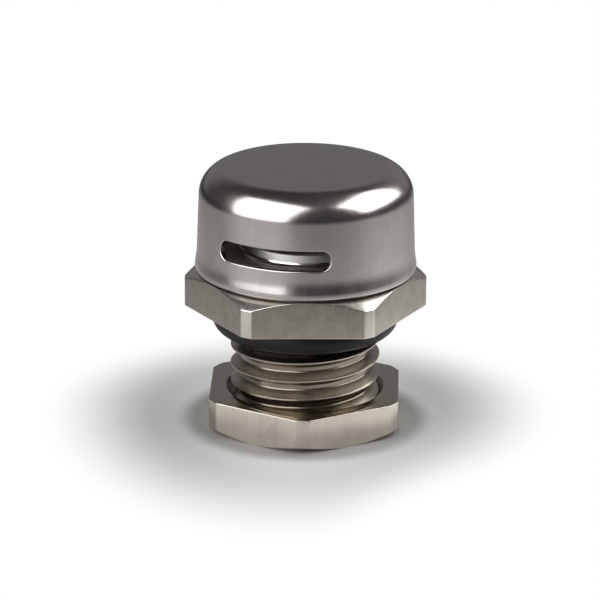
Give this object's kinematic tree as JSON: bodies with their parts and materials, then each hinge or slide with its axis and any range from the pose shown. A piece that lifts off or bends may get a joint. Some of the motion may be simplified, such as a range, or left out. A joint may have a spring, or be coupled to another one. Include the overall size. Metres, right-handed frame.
{
  "type": "vent valve",
  "caption": "Screw-in pressure vent: slotted drawn cap over a hexagon flange, threaded stud with a sealing ring, and a thin hexagon lock nut.",
  "frame": {"origin": "centre of the lock nut's underside, on the axis of the stud", "axes": "+Z along the stud's axis, towards the cap; the front, which the slot and the flange's flat face, is -Y"},
  "size_m": [0.0192, 0.0176, 0.021],
  "materials": {
    "nut_plating": "nickel plated, satin",
    "body_plating": "nickel plated, satin",
    "seal_rubber": "matt black",
    "support_steel": "perforated sheet",
    "membrane_film": "matt white film",
    "gasket_rubber": "matt black",
    "ring_steel": "turned",
    "cap_steel": "drawn and polished stainless steel"
  },
  "bodies": {
    "nut": {"lock_nut": "nut_plating"},
    "seal": {"flange_seal": "seal_rubber"},
    "valve": {"valve_body": "body_plating", "membrane_support": "support_steel", "vent_membrane": "membrane_film", "membrane_gasket": "gasket_rubber", "clamp_ring": "ring_steel", "vent_cap": "cap_steel"}
  },
  "joints": [
    {"name": "thread_travel", "type": "slide", "parent": "nut", "child": "seal", "axis": [0, 0, 1], "range_m": [-0.0046, 0.0023]},
    {"name": "thread_turn", "type": "hinge", "parent": "seal", "child": "valve", "pos_m": [0, 0, 0.009], "axis": [0, 0, 1], "range_deg": [-1080, 540]}
  ],
  "couplings": [
    {"joint": "thread_travel", "follows": "thread_turn", "m_per_rad": 0.00023873}
  ]
}
